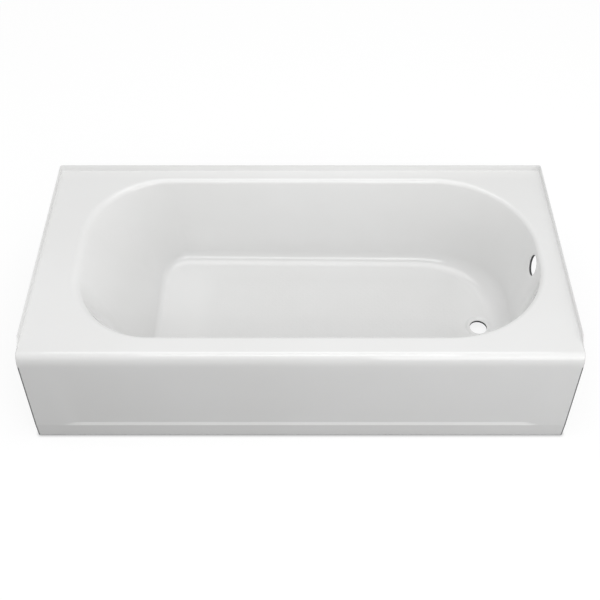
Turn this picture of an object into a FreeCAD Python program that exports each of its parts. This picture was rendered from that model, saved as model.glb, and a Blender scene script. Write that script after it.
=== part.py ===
import FreeCAD, Part

import math
import os

from FreeCAD import Vector

# Alcove bathtub: one enamelled steel pressing (basin, deck, apron and tile flange) that is backed by a
# bonded composite and stands on bonded feet. Millimetres. X runs along the bath with the drain at +X,
# Y from the apron at -Y to the wall at +Y, and Z up from the floor that the bath stands on.

# Overall
LENGTH = 1524.0
WIDTH = 762.0
DECK_HEIGHT = 368.0
FLANGE_RISE = 23.0              # tile flange above the deck, on the back and both ends
STEEL = 2.0                     # enamelled steel sheet
COMPOSITE = 6.0                 # bonded backing

# Rim: flat deck left between the outside of the bath and the start of the basin's roll
DECK_WIDTH_LEFT = 102.0
DECK_WIDTH_RIGHT = 49.0
DECK_WIDTH_FRONT = 63.0
DECK_WIDTH_BACK = 34.0
MOUTH_STRAIGHT_LEFT = 163.0     # straight stretch of the mouth across each end, between its corners
MOUTH_STRAIGHT_RIGHT = 57.0

# Basin floor: its flat stretch ends this far from the outside of the bath
FLOOR_FROM_LEFT = 322.0
FLOOR_FROM_RIGHT = 177.0
FLOOR_FROM_FRONT = 144.5
FLOOR_FROM_BACK = 115.5
FLOOR_STRAIGHT_LEFT = 352.0     # straight stretch of the flat floor across each end
FLOOR_STRAIGHT_RIGHT = 102.0
FLOOR_HEIGHT_AT_DRAIN = 35.0    # top of the basin floor at the drain
FLOOR_FALL = 0.0117             # fall of the floor towards the drain, per millimetre of length

# Upright profile of the basin wall: roll at the mouth, slightly bowed wall, fillet at the floor
SIDE_ROLL = 16.0
SIDE_FLOOR_FILLET = 44.0
SIDE_BOW = 5000.0
BACKREST_ROLL = 34.0
BACKREST_FLOOR_FILLET = 50.0
BACKREST_BOW = 2000.0
DRAIN_END_ROLL = 16.0
DRAIN_END_FLOOR_FILLET = 70.0
DRAIN_END_BOW = 5000.0

# Drain and overflow, both bare holes on the basin's centre line
DRAIN_FROM_RIGHT = 200.0
DRAIN_RADIUS = 27.0
DRAIN_SEAT_RADIUS = 36.0        # flat sunk seat round the drain hole
DRAIN_SEAT_DEPTH = 2.5
DRAIN_SEAT_SLOPE = math.radians(45.0)
OVERFLOW_BELOW_DECK = 55.0
OVERFLOW_RADIUS = 31.0
OVERFLOW_CUT_REACH = 32.0       # its cutter runs this far each way from the visible wall

# Apron
RIM_ROLL = 28.0                 # roll from the deck down into the apron
APRON_SETBACK = 12.0            # the foot of the apron stands this far behind the rim
BAND_HEIGHT = 50.0              # plain band along the foot
BAND_SETBACK = 8.0              # the top of that band behind the rim
APRON_END_BEND = 6.5            # outer radius of the bend at each end of the apron
APRON_FOOT_BEND = 6.0           # outer radius of the bend along its foot
APRON_RETURN = 36.0             # the apron's end and foot returns reach this far behind the rim
PANEL_DEPTH = 4.0               # pressed panel above the band, deepest along its lower edge
PANEL_LEDGE = 15.0              # height of the sloping ledge between the band and the panel
PANEL_FADE = 70.0               # length over which each end of the panel fades out
PANEL_FROM_LEFT = 122.0         # from the outside of the bath to where the panel has faded out
PANEL_FROM_RIGHT = 97.0
PANEL_FROM_TOP = 30.0
PANEL_CUTTER_SCALE = 1.5        # its cutter's open face, as a multiple of the panel's own depth

# Tile flange
FLANGE_CORNER = 12.0            # plan radius of the two back corners
FLANGE_BEND = 6.0               # inner radius of the bend from the deck into the flange
FLANGE_FRONT_FULL = 62.0        # the flange slopes up to its full height here, behind the rim

# Feet, pads and foam
PAD_THICKNESS = 5.0
PAD_LENGTH = 96.0
PAD_WIDTH = 66.0
PAD_CORNER = 8.0                # chamfer of the pad's corners
FOOT_MARGIN = 4.0               # the foot stands in from the edge of its pad
FOOT_TAPER = 6.0                # the foot draws in by this much on each side towards the basin
FOOT_FROM_LEFT = 110.0          # from the ends and sides of the flat floor to the middle of a foot
FOOT_FROM_RIGHT = 155.0
FOOT_FROM_SIDE = 86.0
FOAM_FROM_LEFT = 180.0          # from the ends and sides of the flat floor to the foam
FOAM_FROM_RIGHT = 225.0
FOAM_FROM_SIDE = 156.0

# Ribs moulded on the backing under the floor
RIB_WIDTH = 8.0
RIB_DEPTH = 8.0
RIBS_FROM_SIDE = (139.0, 39.0)  # from the sides and ends of the flat floor
RIB_FROM_LEFT = 50.0
RIB_FROM_RIGHT = 145.0

# Backing panels
BACKING_TOP_GAP = 18.0          # the basin's backing ends this far below the deck
DECK_BACKING_EDGE_GAP = 14.0
DECK_BACKING_MOUTH_GAP = 10.0
APRON_BACKING_FOOT = 26.0
APRON_BACKING_TOP_GAP = 40.0
APRON_BACKING_END_GAP = 14.0

# Apron rail and braces
RAIL_SHEET = 2.0
RAIL_HEIGHT = 20.0
RAIL_END_GAP = 40.0
BRACE_SHEET = 3.0
BRACE_FROM_END = 322.0          # from each end of the bath to the outer braces
BRACE_REACH = 68.0              # the brace's top reaches this far behind the rim
BRACE_FOOT_WIDTH = 18.0
BRACE_TAB = 44.0                # length of its foot tab along the rail

CORNER_STEPS = 12               # strips of the loft round each corner of the basin
UNDER_STEPS = 8                 # and round the outside of its backing
BEYOND = 200.0                  # how far cutting solids run past what they cut
SEW = 0.01

HALF_LENGTH = LENGTH / 2
FRONT = -WIDTH / 2
BACK = WIDTH / 2


class Outline:
    """A rounded rectangle in plan, given with the straight stretch across each end."""

    def __init__(self, left, right, front, back, left_straight, right_straight):
        self.left = left
        self.right = right
        self.front = front
        self.back = back
        self.left_straight = left_straight
        self.right_straight = right_straight
        self.left_radius = (back - front - left_straight) / 2
        self.right_radius = (back - front - right_straight) / 2

    def corner(self, quarter):
        """Centre and radius of a corner: 0 back right, 1 back left, 2 front left, 3 front right."""
        right = quarter in (0, 3)
        radius = self.right_radius if right else self.left_radius
        x = self.right - radius if right else self.left + radius
        y = self.back - radius if quarter in (0, 1) else self.front + radius
        return Vector(x, y, 0), radius

    def grown(self, gap):
        """The outline `gap` outside this one."""
        return Outline(self.left - gap, self.right + gap, self.front - gap, self.back + gap,
                       self.left_straight, self.right_straight)


MOUTH = Outline(
    -HALF_LENGTH + DECK_WIDTH_LEFT, HALF_LENGTH - DECK_WIDTH_RIGHT,
    FRONT + DECK_WIDTH_FRONT, BACK - DECK_WIDTH_BACK,
    MOUTH_STRAIGHT_LEFT, MOUTH_STRAIGHT_RIGHT)
FLOOR = Outline(
    -HALF_LENGTH + FLOOR_FROM_LEFT, HALF_LENGTH - FLOOR_FROM_RIGHT,
    FRONT + FLOOR_FROM_FRONT, BACK - FLOOR_FROM_BACK,
    FLOOR_STRAIGHT_LEFT, FLOOR_STRAIGHT_RIGHT)
CENTRE_Y = (MOUTH.front + MOUTH.back) / 2
DRAIN_X = HALF_LENGTH - DRAIN_FROM_RIGHT


def floor_height(x):
    """Height of the top of the basin floor, which falls towards the drain."""
    return FLOOR_HEIGHT_AT_DRAIN + FLOOR_FALL * (DRAIN_X - x)


def on_circle(centre, radius, angle):
    return centre[0] + radius * math.cos(angle), centre[1] + radius * math.sin(angle)


def box(x0, x1, y0, y1, z0, z1):
    return Part.makeBox(x1 - x0, y1 - y0, z1 - z0, Vector(x0, y0, z0))


def extruded(points, x0, x1):
    """A prism along X of an outline given as (y, z) points."""
    wire = Part.makePolygon([Vector(x0, y, z) for y, z in points + points[:1]])
    return Part.Face(wire).extrude(Vector(x1 - x0, 0, 0))


def flat_sided(loops):
    """Solid whose flat faces are the given closed loops of points."""
    solid = Part.Solid(Part.Shell([Part.Face(Part.makePolygon(loop + loop[:1])) for loop in loops]))
    if solid.Volume < 0:
        solid.reverse()
    return solid


class WallProfile:
    """The upright profile of the basin wall in one direction: roll, bowed wall and floor fillet.

    Points are (inward, down) from the start of the roll on the deck. Each surface under the visible
    one has the same arc centres, with the roll and wall radii reduced and the fillet radius grown.
    """

    def __init__(self, inward, down, roll, fillet, bow):
        self.roll, self.fillet, self.bow = roll, fillet, bow
        self.roll_centre = (0.0, roll)
        self.fillet_centre = (inward, down - fillet)
        across = self.fillet_centre[0] - self.roll_centre[0]
        drop = self.fillet_centre[1] - self.roll_centre[1]
        span = math.hypot(across, drop)
        across, drop = across / span, drop / span
        to_roll = bow - roll
        to_fillet = bow + fillet
        along = (to_roll ** 2 - to_fillet ** 2 + span ** 2) / (2 * span)
        aside = math.sqrt(to_roll ** 2 - along ** 2)
        self.bow_centre = (along * across - aside * drop, roll + along * drop + aside * across)
        if self.bow_centre[0] > 0:
            self.bow_centre = (along * across + aside * drop, roll + along * drop - aside * across)
        self.upper = self.direction(self.bow_centre, self.roll_centre)
        self.lower = self.direction(self.bow_centre, self.fillet_centre)

    @staticmethod
    def direction(start, end):
        return math.atan2(end[1] - start[1], end[0] - start[0])

    def arcs(self, depth):
        """Three arcs, each as its start, middle and end, `depth` under the visible surface."""
        roll, bow, fillet = self.roll - depth, self.bow - depth, self.fillet + depth
        up = -math.pi / 2
        turned = self.lower + math.pi
        rows = []
        for centre, radius, start, end in (
                (self.roll_centre, roll, up, self.upper),
                (self.bow_centre, bow, self.upper, self.lower),
                (self.fillet_centre, fillet, turned, -up)):
            if abs(end - start) > math.pi:
                end -= math.copysign(2 * math.pi, end - start)
            rows.append([on_circle(centre, radius, start + (end - start) * part) for part in (0, 0.5, 1)])
        return rows

    def wall_point(self, down):
        """Point of the visible wall at a depth below the deck, and its direction out of the basin."""
        angle = math.asin((down - self.bow_centre[1]) / self.bow)
        return on_circle(self.bow_centre, self.bow, angle), angle


def blended(share, side, end):
    """A value that passes smoothly from a side's to an end's round a corner."""
    return side + (end - side) * share


def wall_profile(azimuth, inward, down):
    """Profile at an azimuth in plan: 0 degrees is the drain end, 90 the back, 180 the backrest."""
    share = math.cos(math.radians(azimuth)) ** 2
    if math.cos(math.radians(azimuth)) > 0:
        end = (DRAIN_END_ROLL, DRAIN_END_FLOOR_FILLET, DRAIN_END_BOW)
    else:
        end = (BACKREST_ROLL, BACKREST_FLOOR_FILLET, BACKREST_BOW)
    roll = blended(share, SIDE_ROLL, end[0])
    fillet = blended(share, SIDE_FLOOR_FILLET, end[1])
    bow = 1 / blended(share, 1 / SIDE_BOW, 1 / end[2])
    return WallProfile(inward, down, roll, fillet, bow)


def basin_section(quarter, part, depth):
    """Wire of the basin wall at one place round a corner, `depth` under the visible surface."""
    azimuth = 90.0 * (quarter + part)
    angle = math.radians(azimuth)
    outward = Vector(math.cos(angle), math.sin(angle), 0)
    along = Vector(-math.sin(angle), math.cos(angle), 0)
    centre, radius = MOUTH.corner(quarter)
    mouth = centre + outward * radius
    centre, radius = FLOOR.corner(quarter)
    foot = centre + outward * radius
    shift = (foot - mouth).dot(along)
    down = DECK_HEIGHT - floor_height(foot.x)
    rows = wall_profile(azimuth, (mouth - foot).dot(outward), down).arcs(depth)
    wall_top, wall_foot = rows[1][0][1], rows[1][2][1]

    def placed(point):
        slid = min(1.0, max(0.0, (point[1] - wall_top) / (wall_foot - wall_top)))
        return mouth - outward * point[0] + along * (shift * slid) + Vector(0, 0, DECK_HEIGHT - point[1])

    return Part.Wire([Part.Arc(*[placed(point) for point in row]).toShape() for row in rows])


def cap(faces, height):
    """Flat face on the edges of `faces` that lie at the height that `height` gives for each x."""
    edges = [edge for face in faces for edge in face.Edges
             if all(abs(v.Z - height(v.X)) < SEW / 10 for v in edge.Vertexes)]
    return Part.Face(Part.Wire(Part.sortEdges(edges)[0]))


def basin_cavity(depth, steps):
    """The space of the basin, grown by `depth` so that its wall is that far under the visible one."""
    corners = [[basin_section(quarter, step / steps, depth) for step in range(steps + 1)]
               for quarter in range(4)]
    faces = []
    for quarter, sections in enumerate(corners):
        faces += Part.makeLoft(sections + corners[(quarter + 1) % 4][:1], False, True).Faces
    faces.append(cap(faces, lambda x: DECK_HEIGHT - depth))
    faces.append(cap(faces[:-1], lambda x: floor_height(x) - depth))
    skin = Part.makeCompound(faces)
    skin.sewShape(SEW)
    cavity = Part.Solid(skin.Shells[0])
    if cavity.Volume < 0:
        cavity.reverse()
    return cavity.fuse(drain_seat(depth))


def drain_seat(depth):
    """Cutter of the sunk seat round the drain hole, tall enough to run out through the floor fillet."""
    radius = DRAIN_SEAT_RADIUS + depth * math.tan(DRAIN_SEAT_SLOPE / 2)
    rise = 3 * DRAIN_SEAT_DEPTH + depth
    low = Vector(DRAIN_X, CENTRE_Y, floor_height(DRAIN_X) - DRAIN_SEAT_DEPTH - depth)
    return Part.makeCone(radius, radius + rise / math.tan(DRAIN_SEAT_SLOPE), rise, low)


def apron_point(height):
    """How far behind the front of the rim the plain apron lies at a height."""
    if height < BAND_HEIGHT:
        return APRON_SETBACK + (BAND_SETBACK - APRON_SETBACK) * height / BAND_HEIGHT
    top = DECK_HEIGHT - RIM_ROLL
    return BAND_SETBACK * (top - height) / (top - BAND_HEIGHT)


def pressed_panel(depth):
    """Cutter of the apron's pressed panel: a shallow hipped shape, extended a little to the front."""
    top = DECK_HEIGHT - RIM_ROLL - PANEL_FROM_TOP
    ridge = BAND_HEIGHT + PANEL_LEDGE
    left = -HALF_LENGTH + PANEL_FROM_LEFT
    right = HALF_LENGTH - PANEL_FROM_RIGHT
    deep = [Vector(left + PANEL_FADE, FRONT + apron_point(ridge) + PANEL_DEPTH, ridge),
            Vector(right - PANEL_FADE, FRONT + apron_point(ridge) + PANEL_DEPTH, ridge)]
    flush = [Vector(x, FRONT + apron_point(z), z)
             for x, z in ((left, BAND_HEIGHT), (right, BAND_HEIGHT), (right, top), (left, top))]
    under = [deep[0], deep[1], deep[1], deep[0]]
    front = [low + (edge - low) * PANEL_CUTTER_SCALE for low, edge in zip(under, flush)]
    loops = [front, [front[0], front[1], deep[1], deep[0]], [front[1], front[2], deep[1]],
             [front[2], front[3], deep[0], deep[1]], [front[3], front[0], deep[0]]]
    panel = flat_sided(loops)
    panel.translate(Vector(0, depth, 0))
    return panel


def apron_body(depth, foot, back):
    """Solid behind the visible front of the bath, `depth` under it, from `foot` up and to `back`."""
    roll = RIM_ROLL - depth
    roll_y = FRONT + RIM_ROLL
    roll_z = DECK_HEIGHT - RIM_ROLL
    lean = math.atan2(BAND_SETBACK, roll_z - BAND_HEIGHT)
    start = Vector(0, roll_y - roll * math.cos(lean), roll_z - roll * math.sin(lean))
    middle_angle = math.pi / 4 - lean / 2
    middle = Vector(0, roll_y - roll * math.cos(middle_angle), roll_z + roll * math.sin(middle_angle))
    end = Vector(0, roll_y, DECK_HEIGHT - depth)
    band_top = Vector(0, FRONT + BAND_SETBACK + depth, BAND_HEIGHT)
    sole = Vector(0, FRONT + apron_point(foot) + depth, foot)
    corners = [end, Vector(0, back, DECK_HEIGHT - depth), Vector(0, back, foot), sole, band_top, start]
    edges = [Part.makeLine(corners[i], corners[i + 1]) for i in range(len(corners) - 1)]
    edges.append(Part.Arc(start, middle, end).toShape())
    half = HALF_LENGTH - depth
    face = Part.Face(Part.Wire(edges))
    face.translate(Vector(-half, 0, 0))
    return face.extrude(Vector(2 * half, 0, 0))


def bent_apron_body(depth, foot):
    """The same solid as far back as the apron's returns, with its end bends and foot bend rounded."""
    back = FRONT + APRON_RETURN
    body = apron_body(depth, foot, back)
    half = HALF_LENGTH - depth
    ends = [edge for edge in body.Edges
            if abs(abs(edge.CenterOfMass.x) - half) < SEW
            and edge.BoundBox.ZMax > foot + SEW and edge.BoundBox.YMin < back - SEW]
    body = body.makeFillet(APRON_END_BEND - depth, ends)
    sole = [edge for edge in body.Edges
            if edge.BoundBox.ZMax < foot + SEW and edge.BoundBox.YMin < back - SEW]
    return body.makeFillet(APRON_FOOT_BEND - depth, sole)


def apron_shell():
    """The pressing's front: roll, apron with its pressed panel, and returns along both ends and foot."""
    outer = bent_apron_body(0.0, 0.0).cut(pressed_panel(0.0))
    inner = bent_apron_body(STEEL, STEEL).cut(pressed_panel(STEEL))
    return outer.cut(inner)


def deck_tray(inset, low, high):
    """Block over the deck behind the apron's returns, with round back corners and a round lower edge."""
    front = FRONT + APRON_RETURN
    block = box(-HALF_LENGTH + inset, HALF_LENGTH - inset, front, BACK - inset, low, high)
    back_edges = [edge for edge in block.Edges
                  if abs(edge.CenterOfMass.y - BACK + inset) < SEW and edge.BoundBox.ZLength > SEW]
    block = block.makeFillet(FLANGE_CORNER - inset, back_edges)
    lower_edges = [edge for edge in block.Edges
                   if edge.BoundBox.ZMax < low + SEW and edge.BoundBox.YMax > front + SEW]
    return block.makeFillet(FLANGE_BEND + STEEL - inset, lower_edges)


def deck_and_flange():
    """Flat deck that is bent up into the tile flange, whose front ends slope down to the deck."""
    top = DECK_HEIGHT + FLANGE_RISE
    front = FRONT + APRON_RETURN
    tray = deck_tray(0.0, DECK_HEIGHT - STEEL, top).cut(deck_tray(STEEL, DECK_HEIGHT, top + BEYOND))
    slope = extruded([(front - BEYOND, DECK_HEIGHT), (front, DECK_HEIGHT), (FRONT + FLANGE_FRONT_FULL, top),
                      (FRONT + FLANGE_FRONT_FULL, top + BEYOND), (front - BEYOND, top + BEYOND)],
                     -LENGTH, LENGTH)
    return tray.cut(slope)


def overflow_punch():
    """Cutter of the overflow hole, square to the drain end wall."""
    down = DECK_HEIGHT - floor_height(FLOOR.right)
    profile = wall_profile(0.0, MOUTH.right - FLOOR.right, down)
    (inward, depth), angle = profile.wall_point(OVERFLOW_BELOW_DECK)
    axis = Vector(-math.cos(angle), 0, -math.sin(angle))
    middle = Vector(MOUTH.right - inward, CENTRE_Y, DECK_HEIGHT - depth)
    start = middle - axis * OVERFLOW_CUT_REACH
    return Part.makeCylinder(OVERFLOW_RADIUS, 2 * OVERFLOW_CUT_REACH, start, axis)


def drain_punch():
    reach = floor_height(DRAIN_X)
    return Part.makeCylinder(DRAIN_RADIUS, 2 * reach, Vector(DRAIN_X, CENTRE_Y, 0))


def tub_shell(visible, hidden):
    """The pressing: front, deck with its flange, and the basin as one sheet."""
    sheet = apron_shell().fuse([deck_and_flange(), hidden]).removeSplitter()
    return sheet.cut(visible).cut(overflow_punch()).cut(drain_punch())


def basin_backing(hidden, under):
    """Composite under the basin's walls and floor, with ribs moulded along the floor."""
    below_roll = box(-LENGTH, LENGTH, -WIDTH, WIDTH, -BEYOND, DECK_HEIGHT - BACKING_TOP_GAP)
    backing = under.cut(hidden).common(below_roll)
    ribs = []
    for aside in RIBS_FROM_SIDE:
        for y in (FLOOR.front + aside, FLOOR.back - aside):
            deep = [Vector(x, y - RIB_WIDTH / 2, floor_height(x) - STEEL - COMPOSITE - RIB_DEPTH)
                    for x in (FLOOR.left + RIB_FROM_LEFT, FLOOR.right - RIB_FROM_RIGHT)]
            high = [point + Vector(0, 0, RIB_DEPTH + COMPOSITE / 2) for point in reversed(deep)]
            loop = deep + high
            ribs.append(Part.Face(Part.makePolygon(loop + loop[:1])).extrude(Vector(0, RIB_WIDTH, 0)))
    backing = backing.fuse(ribs).removeSplitter()
    return backing.cut(overflow_punch()).cut(drain_punch())


def deck_backing():
    """Flat composite frame bonded under the deck, round the mouth of the basin."""
    top = DECK_HEIGHT - STEEL
    gap = DECK_BACKING_EDGE_GAP
    plate = box(-HALF_LENGTH + gap, HALF_LENGTH - gap, FRONT + RIM_ROLL, BACK - gap, top - COMPOSITE, top)
    inner_edge = MOUTH.grown(DECK_BACKING_MOUTH_GAP)
    corners = []
    for quarter in range(4):
        centre, radius = inner_edge.corner(quarter)
        corners.append([centre + Vector(radius * math.cos(a), radius * math.sin(a), top - BEYOND)
                        for a in (math.pi / 2 * (quarter + part) for part in (0, 0.5, 1))])
    edges = []
    for quarter, points in enumerate(corners):
        edges.append(Part.Arc(*points).toShape())
        edges.append(Part.makeLine(points[2], corners[(quarter + 1) % 4][0]))
    return plate.cut(Part.Face(Part.Wire(edges)).extrude(Vector(0, 0, 2 * BEYOND)))


def apron_backing():
    """Composite bonded behind the apron, pressed panel and all."""
    back = FRONT + 2 * APRON_RETURN
    outer = apron_body(STEEL, STEEL, back).cut(pressed_panel(STEEL))
    inner = apron_body(STEEL + COMPOSITE, STEEL, back).cut(pressed_panel(STEEL + COMPOSITE))
    reach = HALF_LENGTH - APRON_BACKING_END_GAP
    kept = box(-reach, reach, FRONT - BEYOND, FRONT + RIM_ROLL,
               APRON_BACKING_FOOT, DECK_HEIGHT - APRON_BACKING_TOP_GAP)
    return outer.cut(inner).common(kept)


def apron_rail():
    """Steel channel with round bends, open to the back, on the apron's foot return."""
    reach = HALF_LENGTH - RAIL_END_GAP
    low = STEEL
    high = STEEL + RAIL_HEIGHT
    front = FRONT + APRON_SETBACK + STEEL
    back = FRONT + APRON_RETURN
    points = [(front, low), (back, low), (back, low + RAIL_SHEET), (front + RAIL_SHEET, low + RAIL_SHEET),
              (front + RAIL_SHEET, high - RAIL_SHEET), (back, high - RAIL_SHEET), (back, high),
              (front, high)]
    rail = extruded(points, -reach, reach)
    for inset in (0.0, RAIL_SHEET):
        bends = [edge for edge in rail.Edges
                 if edge.BoundBox.XLength > reach and abs(edge.CenterOfMass.y - front - inset) < SEW]
        rail = rail.makeFillet(APRON_FOOT_BEND - STEEL - inset, bends)
    return rail


def apron_brace(x):
    """Sheet gusset behind the apron, up to the deck's backing, with a bent foot tab on the rail."""
    high = DECK_HEIGHT - STEEL - COMPOSITE
    low = STEEL + RAIL_HEIGHT
    front = FRONT + APRON_SETBACK + STEEL + RAIL_SHEET
    reach = FRONT + BRACE_REACH
    foot_back = front + BRACE_FOOT_WIDTH
    web = extruded([(FRONT, low), (foot_back, low), (foot_back, low + BRACE_TAB),
                    (reach, high - BRACE_TAB), (reach, high), (FRONT, high)], x, x + BRACE_SHEET)
    behind_apron = apron_body(STEEL + COMPOSITE, STEEL, reach + BEYOND)
    behind_apron = behind_apron.cut(pressed_panel(STEEL + COMPOSITE))
    middle = x + BRACE_SHEET
    tab = box(middle - BRACE_TAB / 2, middle + BRACE_TAB / 2, front, foot_back,
              low, low + BRACE_SHEET)
    return web.common(behind_apron).fuse(tab).removeSplitter()


def tapered_block(x, y, length, width, low, high, taper):
    """Block whose four sides lean in by `taper` towards its top."""
    lower, upper = [[Vector(x + i * (length / 2 - lean), y + j * (width / 2 - lean), z)
                     for i, j in ((-1, -1), (1, -1), (1, 1), (-1, 1))]
                    for z, lean in ((low, 0.0), (high, taper))]
    sides = [[lower[i - 1], lower[i], upper[i], upper[i - 1]] for i in range(4)]
    return flat_sided([lower, upper] + sides)


def under_floor():
    """Space under the backing of the flat floor, down to below the ground."""
    ends = (-HALF_LENGTH, HALF_LENGTH)
    low = [Vector(x, FRONT, -BEYOND) for x in ends]
    high = [Vector(x, FRONT, floor_height(x) - STEEL - COMPOSITE) for x in reversed(ends)]
    loop = low + high
    return Part.Face(Part.makePolygon(loop + loop[:1])).extrude(Vector(0, WIDTH, 0))


def foot(x, y):
    """Moulded foot between its pad and the backing under the floor."""
    high = floor_height(x)
    block = tapered_block(x, y, PAD_LENGTH - 2 * FOOT_MARGIN, PAD_WIDTH - 2 * FOOT_MARGIN,
                          PAD_THICKNESS, high, FOOT_TAPER)
    return block.common(under_floor())


def foot_pad(x, y):
    pad = box(x - PAD_LENGTH / 2, x + PAD_LENGTH / 2, y - PAD_WIDTH / 2, y + PAD_WIDTH / 2,
              0, PAD_THICKNESS)
    corners = [edge for edge in pad.Edges if edge.BoundBox.ZLength > PAD_THICKNESS - SEW]
    return pad.makeChamfer(PAD_CORNER, corners)


def floor_foam():
    """Foam block between the ground and the backing, along the middle of the floor."""
    block = box(FLOOR.left + FOAM_FROM_LEFT, FLOOR.right - FOAM_FROM_RIGHT,
                FLOOR.front + FOAM_FROM_SIDE, FLOOR.back - FOAM_FROM_SIDE, 0, DECK_HEIGHT)
    return block.common(under_floor())


def main():
    visible = basin_cavity(0.0, CORNER_STEPS)
    hidden = basin_cavity(STEEL, CORNER_STEPS)
    under = basin_cavity(STEEL + COMPOSITE, UNDER_STEPS)
    nodes = {
        "tub_shell": tub_shell(visible, hidden),
        "basin_backing": basin_backing(hidden, under),
        "deck_backing": deck_backing(),
        "apron_backing": apron_backing(),
        "apron_rail": apron_rail(),
        "floor_foam": floor_foam(),
    }
    for name, place in (("left", -1), ("centre", 0), ("right", 1)):
        nodes["apron_brace_" + name] = apron_brace(place * (HALF_LENGTH - BRACE_FROM_END))
    for side, y in (("front", FLOOR.front + FOOT_FROM_SIDE), ("rear", FLOOR.back - FOOT_FROM_SIDE)):
        for end, x in (("left", FLOOR.left + FOOT_FROM_LEFT), ("right", FLOOR.right - FOOT_FROM_RIGHT)):
            nodes["foot_{}_{}".format(side, end)] = foot(x, y)
            nodes["foot_pad_{}_{}".format(side, end)] = foot_pad(x, y)
    os.makedirs("parts", exist_ok=True)
    for name, shape in nodes.items():
        print(name, shape.isValid(), len(shape.Solids), round(shape.Volume / 1000.0, 2), "cm3")
        shape.exportStep("parts/" + name + ".step")


main()
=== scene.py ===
"""White enamelled alcove bathtub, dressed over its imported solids.

The enamelled pressing is one sheet, drawn out of a single ring: inwards over the deck, the rolled
mouth, the walls and the floor to the drain hole, outwards into the tile flange, and forwards over
the rounded front into the apron. Behind it is the bonded backing, also drawn from one ring.
Everything is in metres: X along the bath with the drain at +X, Y from the apron to the wall
behind, Z up.
"""
import logging
import math
from dataclasses import dataclass, field
from enum import Enum
from typing import Any, Callable, Iterator, Optional

import bmesh
import bpy
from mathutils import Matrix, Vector


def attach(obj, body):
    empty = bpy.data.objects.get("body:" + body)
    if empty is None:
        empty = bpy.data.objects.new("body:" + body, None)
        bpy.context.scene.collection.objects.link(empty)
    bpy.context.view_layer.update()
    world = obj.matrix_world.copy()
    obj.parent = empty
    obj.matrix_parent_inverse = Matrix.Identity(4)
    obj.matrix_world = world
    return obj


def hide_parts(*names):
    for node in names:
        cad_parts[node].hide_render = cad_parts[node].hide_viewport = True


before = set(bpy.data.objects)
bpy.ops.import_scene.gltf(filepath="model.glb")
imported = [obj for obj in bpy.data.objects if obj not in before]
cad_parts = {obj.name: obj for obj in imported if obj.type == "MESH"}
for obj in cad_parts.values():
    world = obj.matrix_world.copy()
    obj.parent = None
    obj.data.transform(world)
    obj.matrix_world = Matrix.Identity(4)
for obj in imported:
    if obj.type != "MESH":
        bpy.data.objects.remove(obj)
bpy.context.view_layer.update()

log = logging.getLogger("bathtub")

Place = Callable[[int, Vector], Vector]
Rows = list[tuple[Vector, Vector]]

PHOTO_SIDE = 600.0              # pixels
NEAR = 1e-5                     # a vertex this close to a line or plane lies on it
HAIR = 1e-6                     # a gap too small to see
DOUBLES = 0.00002               # vertices closer than this are merged
SHARP = math.radians(55)        # sharper edges get a small bevel
SMOOTH = math.radians(40)       # flatter edges are shaded smooth
RIGHT_ANGLE = math.pi / 2
REFRACTION = 1.5                # index of glass and of resin
NOISE_MIDDLE = 0.5
NOISE_MOST = (0.35, 0.65)       # most of a noise's values lie between these,
NOISE_ALL = (0.3, 0.7)          # and nearly all between these


class Slot(Enum):
    """The record's material slots."""

    ENAMEL = "enamel"
    COMPOSITE = "composite"
    GALVANISED = "galvanised"
    FOAM = "foam"
    FOOT = "foot"
    PAD = "pad"


class Arc(Enum):
    """The three arcs of the basin's upright profile, from the deck down."""

    ROLL = 0
    WALL = 1
    FILLET = 2


def select_none() -> None:
    """Leaves object mode with nothing selected and nothing active."""
    if bpy.context.object is not None and bpy.context.object.mode != "OBJECT":
        bpy.ops.object.mode_set(mode="OBJECT")
    bpy.ops.object.select_all(action="DESELECT")


def activate(piece: bpy.types.Object) -> None:
    """Makes a piece the only selected and active object.

    Args:
        piece: The object.
    """
    select_none()
    piece.select_set(True)
    bpy.context.view_layer.objects.active = piece


def apply_modifier(piece: bpy.types.Object, kind: str, **settings: Any) -> None:
    """Adds one modifier to a piece and applies it.

    Args:
        piece: The object that gets it.
        kind: Blender's name of the modifier's type.
        settings: Values of the modifier's own fields.
    """
    activate(piece)
    bpy.ops.object.modifier_add(type=kind)
    modifier = piece.modifiers[-1]
    for name, value in settings.items():
        setattr(modifier, name, value)
    bpy.ops.object.modifier_apply(modifier=modifier.name)


def soften_edges(piece: bpy.types.Object, width: float) -> None:
    """Bevels the sharp edges of a piece."""
    apply_modifier(piece, "BEVEL", width=width, segments=2, limit_method="ANGLE",
                   angle_limit=SHARP, use_clamp_overlap=True)


def shade_smooth(piece: bpy.types.Object) -> None:
    """Shades a piece smooth but for its sharp edges."""
    activate(piece)
    bpy.ops.object.shade_smooth_by_angle(angle=SMOOTH)


def quarter_bend(radius: float, steps: int) -> Iterator[tuple[float, float]]:
    """Goes step by step through a bend of a right angle.

    Args:
        radius: Radius of the bend.
        steps: Number of its steps.

    Yields:
        How far a step goes on in the old direction, and how far in the new one.
    """
    for step in range(1, steps + 1):
        was, now = (RIGHT_ANGLE * (step + back) / steps for back in (-1, 0))
        yield radius * (math.sin(now) - math.sin(was)), radius * (math.cos(was) - math.cos(now))


def soft_least(values: list[float], softness: float) -> float:
    """The least of some values, with the corner between two of them rounded off.

    Args:
        values: The values.
        softness: Two values closer than this are blended.

    Returns:
        The least value, or a little less where two are close.
    """
    least = values[0]
    for value in values[1:]:
        blend = max(0.0, softness - abs(least - value)) / softness
        least = min(least, value) - blend * blend * softness / 4
    return least


# -------------------------------------------------------------------------------------------------
# Finishes
# -------------------------------------------------------------------------------------------------


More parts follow.
